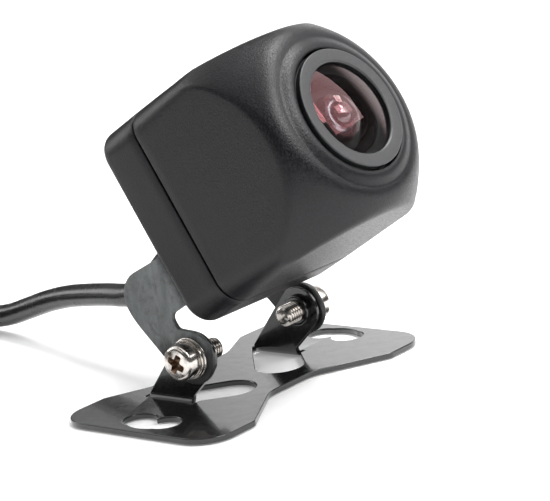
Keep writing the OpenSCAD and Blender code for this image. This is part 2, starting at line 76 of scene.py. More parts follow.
# ---- camera
def make_camera():
    data = bpy.data.cameras.new("camera")
    data.sensor_width = 36
    data.lens = 145.9
    data.shift_x = 0.0004
    data.shift_y = 0.0039
    data.clip_start = 0.01
    camera = placed("camera", data)
    right = (0.6243, -0.772, -0.1197)
    up = (0.2586, 0.0597, 0.9641)
    back = (-0.7371, -0.6329, 0.2369)
    place = (-0.22458, -0.20058, 0.0914)
    rows = list(zip(right, up, back, place))
    camera.matrix_world = Matrix(rows + [(0, 0, 0, 1)])
    bpy.context.scene.camera = camera


make_camera()


# ---- mesh tools, all in millimetres
def add_mesh(name, part, material, nodes="", matrix=LENS, sharp=40, body="camera_head"):
    """One piece from points in millimetres. Its shading is smooth except at edges over the sharp angle.
    Where it stands for CAD nodes, it hides them."""
    verts, faces = part
    mesh = bpy.data.meshes.new(name)
    mesh.from_pydata([tuple((matrix @ Vector(v)) * MM) for v in verts], [], faces)
    bm = bmesh.new()
    bm.from_mesh(mesh)
    bmesh.ops.remove_doubles(bm, verts=bm.verts, dist=1e-8)
    bmesh.ops.dissolve_degenerate(bm, edges=bm.edges, dist=1e-7)
    bmesh.ops.recalc_face_normals(bm, faces=bm.faces)
    bm.to_mesh(mesh)
    bm.free()
    soften(mesh, sharp)
    mesh.materials.append(material)
    piece = placed(name, mesh)
    if nodes:
        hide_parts(*nodes.split())
    if body:
        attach(piece, body)
    return piece


def soften(mesh, sharp):
    mesh.shade_smooth()
    mesh.set_sharp_from_angle(angle=radians(sharp))


def repaint(piece, material, test, place=LENS):
    """Gives another material to the faces that pass the test, by radius, height, centre and normal."""
    piece.data.materials.append(material)
    into = place.inverted()
    for face in piece.data.polygons:
        p = into @ (Vector(face.center) / MM)
        if test(hypot(p.x, p.y), p.z, p, face.normal):
            face.material_index = 1


def joined(parts):
    """Several (verts, faces) lists as one."""
    verts = []
    faces = []
    for part_verts, part_faces in parts:
        base = len(verts)
        verts += [tuple(v) for v in part_verts]
        faces += [tuple(base + i for i in f) for f in part_faces]
    return verts, faces


def moved(part, matrix):
    verts, faces = part
    return [tuple(matrix @ Vector(v)) for v in verts], faces


def grid(rows, around=True, closed=False, caps=False):
    """A skin over rows of points; closed joins the last row to the first, caps fills both end rows."""
    count = len(rows[0])
    verts = [p for row in rows for p in row]
    faces = []
    last = len(rows) if closed else len(rows) - 1
    for j in range(last):
        k = (j + 1) % len(rows)
        for i in range(count if around else count - 1):
            n = (i + 1) % count
            faces.append((j * count + i, j * count + n, k * count + n, k * count + i))
    if caps:
        faces.append(tuple(range(count)))
        faces.append(tuple((len(rows) - 1) * count + i for i in range(count)))
    return verts, faces


def polar(r, a, z):
    return (r * cos(a), r * sin(a), z)


def lathe(profile, steps=96):
    """A closed solid of revolution about Z from (radius, height) points."""
    verts = []
    rows = []
    for r, z in profile:
        if r < 1e-6:
            rows.append([len(verts)])
            verts.append((0, 0, z))
            continue
        rows.append(list(range(len(verts), len(verts) + steps)))
        verts += [polar(r, 2 * pi * i / steps, z) for i in range(steps)]
    faces = []
    for low, high in zip(rows, rows[1:] + rows[:1]):
        if len(low) == 1 and len(high) == 1:
            continue
        for i in range(steps):
            n = (i + 1) % steps
            if len(low) == 1:
                faces.append((low[0], high[n], high[i]))
            elif len(high) == 1:
                faces.append((low[i], low[n], high[0]))
            else:
                faces.append((low[i], low[n], high[n], high[i]))
    return verts, faces


def rounded(points, steps=5):
    """A closed 2D path with each (x, y, radius) corner rounded."""
    out = []
    count = len(points)
    for i, (x, y, r) in enumerate(points):
        p = Vector((x, y))
        if r <= 0:
            out.append((x, y))
            continue
        before = (Vector(points[i - 1][:2]) - p).normalized()
        after = (Vector(points[(i + 1) % count][:2]) - p).normalized()
        half = before.angle(after) / 2
        if half > 1.56:
            out.append((x, y))
            continue
        middle = p + (before + after).normalized() * (r / sin(half))
        start = p + before * (r / tan(half)) - middle
        end = p + after * (r / tan(half)) - middle
        sweep = pi - 2 * half
        for k in range(steps + 1):
            t = k / steps
            spoke = start * sin(sweep * (1 - t)) + end * sin(sweep * t)
            out.append(tuple(middle + spoke / sin(sweep)))
    return out


def oblong(half_x, half_y, r):
    """A rectangle about the origin with rounded corners, counter-clockwise."""
    return rounded([(-half_x, -half_y, r), (half_x, -half_y, r), (half_x, half_y, r), (-half_x, half_y, r)])


def arc(centre, r, start, end, steps=16):
    """Points of an arc, with no rounding of their own."""
    turns = [radians(start + (end - start) * i / steps) for i in range(steps + 1)]
    return [(centre[0] + r * cos(a), centre[1] + r * sin(a), 0) for a in turns]


def circle(x, y, r, steps=48):
    """A clockwise circle, for a hole."""
    turns = [-2 * pi * i / steps for i in range(steps)]
    return [(x + r * cos(a), y + r * sin(a)) for a in turns]


def tangent_angle(point, centre, r, side):
    """Where a line from the point touches the circle, on one side or the other, in degrees."""
    dx = point[0] - centre[0]
    dy = point[1] - centre[1]
    return degrees(atan2(dy, dx) + side * acos(r / hypot(dx, dy)))


def inward(loop):
    """Unit normals into the material, which lies to the left of the loop."""
    normals = []
    count = len(loop)
    for i in range(count):
        p = Vector(loop[i])
        a = (p - Vector(loop[i - 1])).normalized()
        b = (Vector(loop[(i + 1) % count]) - p).normalized()
        n = Vector((-a.y - b.y, a.x + b.x))
        n.normalize()
        lean = max(0.5, n.dot(Vector((-a.y, a.x))))
        normals.append(n / lean)
    return normals


def tidy_loop(loop, gap=0.01):
    """The loop without points that lie closer together than the gap."""
    out = []
    for p in loop:
        if not out or dist(p, out[-1]) > gap:
            out.append(tuple(p))
    if dist(out[0], out[-1]) <= gap:
        out.pop()
    return out


def slab(outline, holes, low, high, edge, steps=4):
    """A plate between two heights with rounded edges; outline counter-clockwise, holes clockwise."""
    loops = [tidy_loop(loop) for loop in [outline] + holes]
    quarter = [pi / 2 * k / steps for k in range(steps + 1)]
    bend = [(edge * (1 - sin(a)), edge * (1 - cos(a))) for a in quarter]
    support = 0.05
    levels = [(edge + support, low)] + [(d, low + h) for d, h in bend]
    levels += [(h, high - d) for d, h in bend] + [(edge + support, high)]
    parts = []
    rings = ([], [])
    base = 0
    for loop in loops:
        count = len(loop)
        normals = inward(loop)
        pairs = list(zip(loop, normals))
        parts.append(grid([[(x + n.x * d, y + n.y * d, z) for (x, y), n in pairs] for d, z in levels]))
        rings[0].append([base + i for i in range(count)])
        rings[1].append([base + (len(levels) - 1) * count + i for i in range(count)])
        base += len(levels) * count
    verts, faces = joined(parts)
    for ring in rings:
        flat = [i for loop in ring for i in loop]
        for triangle in tessellate_polygon([[Vector(verts[i]) for i in loop] for loop in ring]):
            faces.append(tuple(flat[i] for i in triangle))
    return verts, faces


def cut_across(part, xs):
    """Adds an edge line across the part at each x, so that it can be bent there."""
    bm = bmesh.new()
    made = [bm.verts.new(v) for v in part[0]]
    for f in part[1]:
        if len(set(f)) == len(f):
            try:
                bm.faces.new([made[i] for i in f])
            except ValueError:
                continue
    for x in xs:
        geometry = bm.verts[:] + bm.edges[:] + bm.faces[:]
        bmesh.ops.bisect_plane(bm, geom=geometry, dist=1e-5, plane_co=(x, 0, 0), plane_no=(1, 0, 0))
    bm.verts.index_update()
    verts = [tuple(v.co) for v in bm.verts]
    faces = [tuple(v.index for v in f.verts) for f in bm.faces]
    bm.free()
    return verts, faces


def inside(x, y, loop):
    """Whether a point lies in the loop."""
    hit = False
    for (ax, ay), (bx, by) in zip(loop, loop[1:] + loop[:1]):
        if (ay > y) != (by > y) and x < ax + (y - ay) / (by - ay) * (bx - ax):
            hit = not hit
    return hit


def cut_away(piece, cutter_part, matrix, sharp=35):
    """Cuts a closed shape out of a piece, and leaves no modifier on it."""
    cutter = add_mesh("cutter", cutter_part, piece.data.materials[0], "", matrix, body=None)
    modifier = piece.modifiers.new("cut", "BOOLEAN")
    modifier.object = cutter
    modifier.operation = "DIFFERENCE"
    modifier.solver = "EXACT"
    bpy.context.view_layer.update()
    done = bpy.data.meshes.new_from_object(piece.evaluated_get(bpy.context.evaluated_depsgraph_get()))
    piece.modifiers.remove(modifier)
    old = piece.data
    piece.data = done
    bpy.data.meshes.remove(old)
    bpy.data.objects.remove(cutter, do_unlink=True)
    soften(piece.data, sharp)


def spline(points, steps):
    """A smooth path through given points."""
    out = []
    last = len(points) - 1
    pts = [Vector(p) for p in points]
    for i in range(last):
        a, b, c, d = pts[max(i - 1, 0)], pts[i], pts[i + 1], pts[min(i + 2, last)]
        for k in range(steps):
            t = k / steps
            out.append(0.5 * (2 * b + (c - a) * t + (2 * a - 5 * b + 4 * c - d) * t * t
                              + (3 * b - a - 3 * c + d) * t ** 3))
    return out + [pts[last]]


def tube(path, r, sides=24):
    """A closed round tube along a path, its rings turned as little as possible."""
    rows = []
    turns = [2 * pi * k / sides for k in range(sides)]
    side = None
    for i, p in enumerate(path):
        ahead = (path[min(i + 1, len(path) - 1)] - path[max(i - 1, 0)]).normalized()
        if side is None:
            side = ahead.cross(Vector((0, 0, 1))).normalized()
        side = (side - ahead * side.dot(ahead)).normalized()
        up = side.cross(ahead)
        rows.append([tuple(p + r * (side * cos(a) + up * sin(a))) for a in turns])
    return grid(rows, caps=True)


def smooth(t):
    t = min(max(t, 0), 1)
    return t * t * (3 - 2 * t)


# ---- materials
class Look:
    """A procedural material built on one Principled shader, with textures in the piece's own space."""

    def __init__(self, name, color, rough, metal=0.0, **sockets):
        self.material = bpy.data.materials.new(name)
        self.material.use_nodes = True
        self.tree = self.material.node_tree
        self.shader = self.tree.nodes["Principled BSDF"]
        self.fill(self.shader, Base_Color=color, Roughness=rough, Metallic=metal, **sockets)
        self.coord = self.node("ShaderNodeTexCoord").outputs["Object"]
        self.normal = None

    def feed(self, socket, value):
        """Links an output to the socket, or sets its value; a colour gets its alpha."""
        if hasattr(value, "is_output"):
            self.tree.links.new(value, socket)
        elif socket.type == "RGBA":
            socket.default_value = (*value, 1)
        else:
            socket.default_value = value

    def fill(self, node, **inputs):
        for name, value in inputs.items():
            self.feed(node.inputs[name.replace("_", " ")], value)
        return node

    def node(self, kind, **inputs):
        return self.fill(self.tree.nodes.new(kind), **inputs)

    def stretched(self, scale):
        return self.node("ShaderNodeMapping", Vector=self.coord, Scale=scale).outputs["Vector"]

    def noise(self, scale, detail=3, rough=0.55, vector=None, distortion=0.0):
        return self.node("ShaderNodeTexNoise", Vector=vector or self.coord, Scale=scale, Detail=detail,
                         Roughness=rough, Distortion=distortion).outputs["Fac"]

    def cells(self, scale, feature="F1"):
        made = self.node("ShaderNodeTexVoronoi", Vector=self.coord, Scale=scale)
        made.feature = feature
        return made

    def spread(self, value, low, high, to_low=0.0, to_high=1.0):
        return self.node("ShaderNodeMapRange", Value=value, From_Min=low, From_Max=high, To_Min=to_low,
                         To_Max=to_high).outputs["Result"]

    def math(self, operation, a, b=0.0):
        made = self.node("ShaderNodeMath")
        made.operation = operation
        self.feed(made.inputs[0], a)
        self.feed(made.inputs[1], b)
        return made.outputs["Value"]

    def mix(self, factor, a, b):
        made = self.node("ShaderNodeMix")
        made.data_type = "RGBA"
        for key, value in (("Factor", factor), (6, a), (7, b)):
            self.feed(made.inputs[key], value)
        return made.outputs[2]

    def ramp(self, value, low, high, a, b, amount=1.0):
        """Goes from one colour towards another as the value goes from low to high."""
        return self.mix(self.spread(value, low, high, 0.0, amount), a, b)

    def color(self, value):
        self.fill(self.shader, Base_Color=value)

    def rough(self, value, low, high, to_low, to_high):
        self.fill(self.shader, Roughness=self.spread(value, low, high, to_low, to_high))

    def bump(self, height, distance, strength=1.0):
        made = self.node("ShaderNodeBump", Height=height, Distance=distance, Strength=strength)
        if self.normal:
            self.feed(made.inputs["Normal"], self.normal)
        self.normal = made.outputs["Normal"]
        self.fill(self.shader, Normal=self.normal)

    def specks(self, scale, size, share, base, tone):
        """Mixes small round specks over a colour: one in so many cells carries one."""
        cell = self.cells(scale)
        dot = self.math("LESS_THAN", cell.outputs["Distance"], size)
        chosen = self.node("ShaderNodeSeparateColor", Color=cell.outputs["Color"]).outputs["Red"]
        return self.mix(self.math("MULTIPLY", dot, self.math("LESS_THAN", chosen, share)), base, tone)


def case_plastic():
    look = Look("case_plastic", (0.004, 0.004, 0.0043), 0.43, Specular_IOR_Level=0.36)
    grain = look.noise(4200, 2, 0.6)
    coarse = look.noise(1500, 3, 0.6)
    cloudy = look.noise(90, 3, 0.5)
    tone = look.ramp(grain, 0.35, 0.68, (0.001, 0.0008, 0.0014), (0.008, 0.0066, 0.0098))
    tone = look.ramp(cloudy, 0.3, 0.75, tone, (0.0025, 0.0022, 0.0034), 0.25)
    look.color(look.specks(330, 0.03, 0.2, tone, (0.12, 0.12, 0.12)))
    look.rough(grain, 0.34, 0.66, 0.3, 0.48)
    look.bump(grain, 0.00006, 0.6)
    look.bump(coarse, 0.00006, 0.3)
    return look.material


def satin_plastic():
    look = Look("bezel", (0.1, 0.1, 0.102), 0.42)
    fine = look.noise(2600, 3, 0.5)
    cloudy = look.noise(160, 2)
    look.color(look.ramp(fine, 0.3, 0.7, (0.034, 0.034, 0.036), (0.046, 0.046, 0.048)))
    look.rough(cloudy, 0.3, 0.7, 0.38, 0.47)
    look.bump(fine, 0.00001, 0.5)
    return look.material


def gloss_paint():
    look = Look("black_paint", (0.008, 0.008, 0.009), 0.16, Specular_IOR_Level=0.62, Coat_Weight=0.5,
                Coat_Roughness=0.06)
    peel = look.noise(420, 2, 0.4)
    wear = look.noise(900, 4, 0.65)
    tone = look.ramp(wear, 0.55, 0.75, (0.007, 0.007, 0.008), (0.013, 0.013, 0.014))
    look.color(look.specks(190, 0.055, 0.35, tone, (0.001, 0.001, 0.001)))
    look.rough(wear, 0.3, 0.75, 0.13, 0.26)
    look.bump(peel, 0.0001, 0.16)
    pits = look.cells(330)
    look.bump(look.spread(pits.outputs["Distance"], 0.0, 0.1), 0.00005, 0.25)
    return look.material


def stained_and_shaded_paint():
    """Satin black over zinc, a little green and stained, streaked down the sheet, darker low down round the
    pivot, with painted shade that makes the web, the bends and the ears' inner faces near black.
    """
    look = Look("bracket_paint", (0.05, 0.057, 0.055), 0.42, Specular_IOR_Level=0.5)
    streak = look.noise(260, 5, 0.7, look.stretched((1, 1.2, 0.32)), 0.6)
    blotch = look.noise(420, 5, 0.72, None, 1.2)
    fine = look.noise(3000, 3, 0.6)
    tone = look.ramp(streak, 0.36, 0.66, (0.1, 0.108, 0.109), (0.18, 0.194, 0.194))
    tone = look.ramp(blotch, 0.5, 0.68, tone, (0.055, 0.058, 0.06), 0.6)
    tone = look.ramp(fine, 0.55, 0.75, tone, (0.24, 0.255, 0.255), 0.35)
    place = look.node("ShaderNodeSeparateXYZ", Vector=look.coord)
    # Darker low down round the pivot, below a ragged edge.
    ragged = look.math("ADD", place.outputs["Z"], look.spread(streak, 0.3, 0.7, -0.0012, 0.0012))
    low_down = look.spread(ragged, 0.0078, 0.0105, 1.0, 0.0)
    # Painted shade: the web, both bends and the ears' inner faces, which lie nearer the middle than the ears'
    # outer faces, are painted near black.
    painted_shade_inboard = look.spread(look.math("ABSOLUTE", place.outputs["X"]), 0.0119, 0.0125, 1.0, 0.0)
    # Mixes in near black: painted shade inboard of the ears' outer faces, and the darker tone low down round
    # the pivot.
    tone = look.mix(look.math("MAXIMUM", low_down, painted_shade_inboard), tone, (0.012, 0.012, 0.013))
    look.color(look.specks(520, 0.07, 0.1, tone, (0.24, 0.25, 0.25)))
    look.rough(blotch, 0.3, 0.7, 0.32, 0.5)
    look.bump(fine, 0.00002, 0.4)
    look.bump(streak, 0.00008, 0.3)
    return look.material


def plated(name="nickel", color=(0.68, 0.64, 0.6), rough=0.17):
    look = Look(name, color, rough, 1.0)
    cloudy = look.noise(700, 4, 0.65)
    fine = look.noise(6000, 2)
    darker = tuple(c * 0.62 for c in color)
    look.color(look.ramp(cloudy, 0.42, 0.72, color, darker))
    look.rough(cloudy, 0.3, 0.7, rough * 0.7, rough * 1.7)
    look.bump(fine, 0.000006, 0.4)
    look.bump(cloudy, 0.00003, 0.25)
    return look.material


def recess_metal():
    look = Look("recess_nickel", (0.3, 0.22, 0.16), 0.32, 1.0)
    cloudy = look.noise(1500, 4, 0.7)
    look.color(look.ramp(cloudy, 0.35, 0.65, (0.36, 0.27, 0.2), (0.14, 0.09, 0.06)))
    look.bump(cloudy, 0.00003, 0.4)
    return look.material


def moulded(name, color, rough, grain=2500, depth=0.00003, fleck=1.35, **sockets):
    """Moulded plastic or rubber with a fine skin and a slight change of tone."""
    look = Look(name, color, rough, **sockets)
    fine = look.noise(grain, 3, 0.6)
    broad = look.noise(grain * 0.08, 3)
    light = tuple(min(c * fleck, 1) for c in color)
    dark = tuple(c / fleck for c in color)
    tone = look.ramp(fine, 0.35, 0.68, dark, light)
    look.color(look.ramp(broad, 0.4, 0.7, tone, dark, 0.4))
    look.rough(fine, 0.3, 0.7, rough * 0.85, min(rough * 1.2, 1))
    look.bump(fine, depth, 0.45)
    return look.material


def cable_skin():
    """Black PVC jacket, drawn lengthwise, a little dusty."""
    look = Look("cable_pvc", (0.016, 0.016, 0.017), 0.28, Specular_IOR_Level=0.6)
    knit = look.noise(1900, 2, 0.5)
    broad = look.noise(180, 3)
    tone = look.ramp(knit, 0.4, 0.66, (0.011, 0.011, 0.012), (0.024, 0.024, 0.025))
    look.color(look.specks(700, 0.08, 0.1, tone, (0.09, 0.09, 0.09)))
    look.rough(broad, 0.3, 0.7, 0.2, 0.32)
    look.bump(knit, 0.00005, 0.5)
    look.bump(broad, 0.0002, 0.3)
    return look.material


def coated_glass(name, ior, tint, body=(1, 1, 1)):
    """Optical glass whose reflections take the colour of its coating."""
    look = Look(name, body, 0.0, Transmission_Weight=1.0, IOR=ior, Specular_Tint=tint)
    film = look.noise(140, 2)
    look.rough(film, 0.3, 0.7, 0.015, 0.035)
    return look.material


def circuit_board():
    look = Look("board", (0.02, 0.13, 0.06), 0.3, Coat_Weight=0.4)
    tracks = look.cells(700, "DISTANCE_TO_EDGE")
    pads = look.cells(900)
    weave = look.noise(2500, 2)
    on_track = look.math("LESS_THAN", tracks.outputs["Distance"], 0.09)
    on_pad = look.math("LESS_THAN", pads.outputs["Distance"], 0.16)
    tone = look.mix(on_track, (0.015, 0.11, 0.05), (0.03, 0.2, 0.09))
    look.color(look.mix(on_pad, tone, (0.62, 0.55, 0.38)))
    look.rough(weave, 0.3, 0.7, 0.22, 0.4)
    look.bump(tracks.outputs["Distance"], 0.00003, 0.4)
    return look.material


def sensor_die():
    look = Look("sensor_die", (0.1, 0.12, 0.2), 0.12, Coat_Weight=1.0)
    lines = look.noise(1400, 1, 0.4, look.stretched((1, 0.05, 1)))
    look.color(look.ramp(lines, 0.4, 0.6, (0.06, 0.08, 0.16), (0.16, 0.12, 0.22)))
    look.rough(lines, 0.3, 0.7, 0.08, 0.2)
    return look.material


def cable_cores():
    """Four cores in red, yellow, white and black, told apart by where they lie."""
    look = Look("wire", (0.5, 0.08, 0.06), 0.4)
    place = look.node("ShaderNodeSeparateXYZ", Vector=look.coord).outputs["X"]
    fine = look.noise(3000, 2)
    tone = look.mix(look.math("GREATER_THAN", place, 0.0), (0.45, 0.05, 0.04), (0.6, 0.42, 0.05))
    tone = look.mix(look.math("GREATER_THAN", place, 0.0012), tone, (0.62, 0.6, 0.55))
    tone = look.mix(look.math("LESS_THAN", place, -0.0012), tone, (0.02, 0.02, 0.02))
    look.color(look.ramp(fine, 0.4, 0.7, tone, (0.3, 0.28, 0.26), 0.25))
    look.bump(fine, 0.00001, 0.4)
    return look.material


def floor_paper():
    look = Look("floor_paper", (0.9, 0.9, 0.9), 0.8, Specular_IOR_Level=0.2, Emission_Color=(1, 1, 1),
                Emission_Strength=FLOOR_GLOW)
    fine = look.noise(900, 3)
    look.color(look.ramp(fine, 0.3, 0.7, (0.885, 0.885, 0.885), (0.915, 0.915, 0.915)))
    return look.material


FLOOR_GLOW = 0.2       # the table is lit from below as well
CASE = case_plastic()
BEZEL = satin_plastic()
PAINT = gloss_paint()
STAINED_AND_SHADED = stained_and_shaded_paint()
NICKEL = plated()
RECESS = recess_metal()
BLACK_OXIDE = plated("black_screw", (0.09, 0.09, 0.095), 0.35)
RUBBER = moulded("seal_rubber", (0.012, 0.012, 0.012), 0.7)
BARREL = moulded("barrel", (0.005, 0.007, 0.0075), 0.6, 3000)
BARREL_RIM = plated("barrel_rim", (0.2, 0.18, 0.2), 0.2)
CABLE = cable_skin()
PLUG = moulded("plug_plastic", (0.02, 0.02, 0.021), 0.45, 1800, 0.00005)
STRAP = moulded("strap_nylon", (0.018, 0.018, 0.019), 0.38, 1500, 0.00004)
SILICONE = moulded("seal_orange", (0.5, 0.16, 0.04), 0.5)
GOLD = plated("pin_brass", (0.83, 0.6, 0.26), 0.16)
CHIP = moulded("chip", (0.018, 0.018, 0.02), 0.6, 4000)
NYLON = moulded("socket_plastic", (0.75, 0.72, 0.62), 0.45, 2000, fleck=1.06, Subsurface_Weight=0.1)
FRONT_GLASS = coated_glass("coated_glass_front", 1.62, (0.7, 0.24, 0.26))
INNER_GLASS = coated_glass("coated_glass_inner", 1.9, (1.0, 0.85, 0.9))
FILTER_GLASS = coated_glass("filter_glass", 1.5, (0.5, 0.8, 1.0), (0.75, 0.95, 1.0))


# ---- cord, its coil and its plug
CABLE_D = 3.5
COIL = Vector((-15.5, 77, 0))    # middle of the coil
LOW_Z = 2.25           # the coil's lower and upper layer
HIGH_Z = 5.3
HUMP = 0.5             # how far a turn rises where it passes over another
TAIL_X = -37.25
PLUG_Y = 57            # back of the plug
PLUG_Z = 4.6
LEAD = [
    (0, 8.381, 19.555), (0, 9.772, 18.765), (0, 11.163, 17.974), (0.2, 13.6, 16), (0.5, 16, 13.7),
    (1, 18.9, 11.7), (1.8, 23, 10.4), (2.8, 28, 9.8), (4, 33.5, 9), (5.2, 39, 8), (6.2, 44.5, 6.6),
    (7, 50, 4.8), (7.6, 55, 3.2), (7.9, 60, 2.3), (8, 65, LOW_Z), (8, 71, LOW_Z), (8, 77, LOW_Z),
]
TAIL = [(TAIL_X, y, z) for y, z in (
    (77, HIGH_Z), (72, 5.6), (68, 5.7), (64, 5.1), (60.5, PLUG_Z), (58.5, PLUG_Z), (PLUG_Y, PLUG_Z))]
COIL_END = 1620        # degrees turned from where the lead meets the coil to where the tail leaves it


def coil_point(turned):
    """Two and a half turns inwards on the surface, then a climb and two turns outwards on top of them."""
    inwards = smooth((turned - 285) / 45) + smooth((turned - 645) / 45)
    climb = smooth((turned - 930) / 70)
    outwards = smooth((turned - 1270) / 70)
    r = 23.5 - 3.5 * inwards + 1.75 * climb + 3.5 * outwards
    z = LOW_Z + (HIGH_Z - LOW_Z) * climb
    if turned > 990:
        over_crossing = exp(-(((turned - 307) % 360 + 180) % 360 - 180) ** 2 / 900)
        over_turn = exp(-((turned - 1305) / 32) ** 2)
        z += HUMP * max(over_crossing, over_turn) * smooth((turned - 985) / 20)
    a = radians(turned)
    return COIL + Vector((r * cos(a), r * sin(a), z))


def cord_path():
    path = spline(LEAD, 6)
    path += [coil_point(turned) for turned in range(6, COIL_END, 6)]
    return path + spline(TAIL, 5)


def make_plug():
    """Boot, grip body, seal, sleeve and pins of the round screened connector, along -Y."""
    on_plug = at(TAIL_X, PLUG_Y, PLUG_Z) @ spin(90, "X")

    def add(name, part, material, node, sharp=40):
        pieces.append(add_mesh(name, part, material, node, on_plug, sharp, "base"))

    pieces = []
    boot = [(0, 0, 0), (2.2, 0, 0.15), (2.3, 0.5, 0)]
    for i in range(4):
        z = 1.2 + i * 1.3
        for r, up in ((2.34, 0), (2.1, 0.15), (2.1, 0.55), (2.42, 0.7)):
            boot.append((r + i * 0.13, z + up, 0))
    boot += [(3.4, 8, 0.8), (4, 9.6, 0.3), (4, 10, 0.1), (0, 10, 0)]
    add("connector_boot_piece", lathe(rounded(boot)), PLUG, "connector_boot")
    rows = []
    ribs = 20
    steps = 240
    for z, r in ((10, 3.9), (10.1, 4.3), (10.5, 4.6), (11.6, 4.6), (12, 4.45), (19.6, 4.45), (20, 4.6),
                 (23.4, 4.6), (23.8, 4.45), (24, 4.2)):
        row = []
        for i in range(steps):
            a = 2 * pi * i / steps
            depth = 0.16 * smooth(0.5 - 1.4 * cos(ribs * a)) if 12 <= z <= 19.6 else 0
            row.append(polar(r + depth, a, z))
        rows.append(row)
    core = lathe(rounded([(0, 23.9, 0), (2.9, 23.9, 0), (2.9, 27, 0.2), (0, 27, 0)]))
    add("connector_body_piece", joined([grid(rows, caps=True), core]), PLUG, "connector_body", 35)
    seal = [(2.95, 24.05, 0.2), (3.7, 24.05, 0.3), (3.7, 25.05, 0.3), (2.95, 25.05, 0.2)]
    add("connector_seal_piece", lathe(rounded(seal)), SILICONE, "connector_seal")
    sleeve = [(2.95, 25.1, 0.15), (4.1, 25.1, 0.15), (4.1, 26.4, 0.1), (3.95, 26.5, 0.05), (3.95, 27.3, 0.05),
              (4.1, 27.4, 0.1), (4.1, 34.1, 0.3), (2.95, 34.1, 0.2)]
    add("connector_sleeve_piece", lathe(rounded(sleeve)), PLUG, "connector_sleeve", 35)
    pin = lathe(rounded([(0, 26.8, 0), (0.45, 26.8, 0), (0.45, 32.2, 0.35), (0, 32.2, 0)]), 24)
    pins = [moved(pin, spin(angle, "Z") @ at(1.3, 0, 0)) for angle in range(45, 360, 90)]
    add("connector_pin_set", joined(pins), GOLD, "connector_pins")
    return pieces


def make_tie():
    """A nylon cable tie round the coil: strap, ratchet head and a trimmed end."""
    half_w = 5.35
    low = 0.15
    high = 7.4
    thick = 0.34
    middle = 20        # of the coil's bundle, from the coil's own middle
    outer = middle + half_w
    inner = middle - half_w
    loop = rounded([(inner, low, 1.4), (outer, low, 1.4), (outer, high, 2.2), (inner, high, 2.2)], 8)
    section = rounded([(-1.3, 0, 0.08), (1.3, 0, 0.08), (1.3, thick, 0.08), (-1.3, thick, 0.08)], 2)
    rows = [[(x + n.x * (thick - t) * 0.9, s, z + n.y * (thick - t) * 0.9) for s, t in section]
            for (x, z), n in zip(loop, inward(loop))]
    slot = rounded([(-1.5, -0.5, 0.1), (-1.5, 0.5, 0.1), (1.5, 0.5, 0.1), (1.5, -0.5, 0.1)])
    head = slab(oblong(2.2, 2, 0.5), [slot], -1.1, 1.1, 0.25)
    end = slab(oblong(1.2, 1.6, 0.2), [], -0.2, 0.2, 0.08)
    upright = spin(90, "Y") @ spin(90, "Z")
    shape = joined([grid(rows, closed=True), moved(head, at(outer + 0.9, 0, 4.6) @ upright),
                    moved(end, at(outer + 0.75, 0, 2.6) @ upright)])
    place = Matrix.Translation(COIL) @ spin(70, "Z")
    return add_mesh("cable_tie", shape, STRAP, "coil_tie", place, 35, "base")


def make_cord():
    path = cord_path()
    cord = add_mesh("cable", tube(path, CABLE_D / 2), CABLE, "", IDENTITY, 60, None)
    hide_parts("cable_lead", "cable_coil", "cable_tail")
    pieces = make_plug() + [make_tie()]
    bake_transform(cord)


make_cord()


# ---- casing
# Heights along the lens axis are called u.
HALF_W = 14.55
DRAFT = 0.026          # how far a side leans in for each millimetre of height
CORNER_R = 3.6
INNER_HALF = 12.75     # inner wall, half its width and its corners
INNER_R = 2.4
SEAM_U = 12.8
SEAM_HALF = 0.12
DIAGONAL = (HALF_W - CORNER_R) * sqrt(2) + CORNER_R
DOME_R = 19.2          # where the dome leaves the corners
KNEE_R = 13.6          # where the dome starts its run into the valley
VALLEY_R = 11.1
VALLEY_U = 34.5
COLLAR_FLAT = 9.35     # outer radius of the collar's flat top
FRONT_U = 35.2
POCKET_R = 8.95        # the pocket that the bezel sits in
POCKET_U = 33.2
BORE_R = 8.02          # the bore for the lens barrel
COVER_SCREWS = [(x, y) for x in (-10.6, 10.6) for y in (-10.6, 10.6)]
EXIT_Y = 15.4 - LENS_V # the cable's exit
ANGLES = [q + a for q in range(0, 360, 90)
          for a in list(range(0, 34, 3)) + list(range(34, 57)) + list(range(57, 90, 3))]


def square_radius(angle, half, corner):
    """Distance from the middle of a rounded square to its outline."""
    a = radians(abs((angle + 45) % 90 - 45))
    if half * tan(a) <= half - corner:
        return half / cos(a)
    centre = half - corner
    b = centre * (cos(a) + sin(a))
    return b + sqrt(b * b - 2 * centre * centre + corner * corner)


def side_radius(angle, u):
    """The tapered side at one angle and height; its diagonal stays the same."""
    half = HALF_W - DRAFT * max(u - SEAM_U, 0)
    corner = (half * sqrt(2) - DIAGONAL) / (sqrt(2) - 1)
    return square_radius(angle, half, corner)


def dome_u(r):
    power = 1.55
    return 23.3 + 17.5 * (1 - min(r / DOME_R, 1) ** power) ** (1 / power)


def front_curve():
    """The dome and its run into the valley round the collar, from the outside in."""
    radii = [DOME_R - (DOME_R - KNEE_R) * (i / 60) ** 1.6 for i in range(61)]
    points = [Vector((r, dome_u(r))) for r in radii]
    knee = points[-1]
    slope = (dome_u(KNEE_R - 0.1) - knee.y) / 0.1
    bend = Vector((KNEE_R - (VALLEY_U - knee.y) / slope, VALLEY_U))
    valley = Vector((VALLEY_R, VALLEY_U))
    return points + [between(knee, bend, valley, i / 24) for i in range(1, 25)]


def between(start, pull, end, t):
    """A point on the curve from start to end that is drawn towards pull."""
    return start * (1 - t) ** 2 + pull * (2 * t * (1 - t)) + end * t * t


def along(points, distance):
    """The point that lies so far along a path, and the whole length if it is longer."""
    for a, b in zip(points, points[1:]):
        step = (b - a).length
        if distance <= step:
            return a.lerp(b, distance / step)
        distance -= step
    return points[-1]


def ring_point(angle, r, u):
    return polar(r, radians(angle), u)


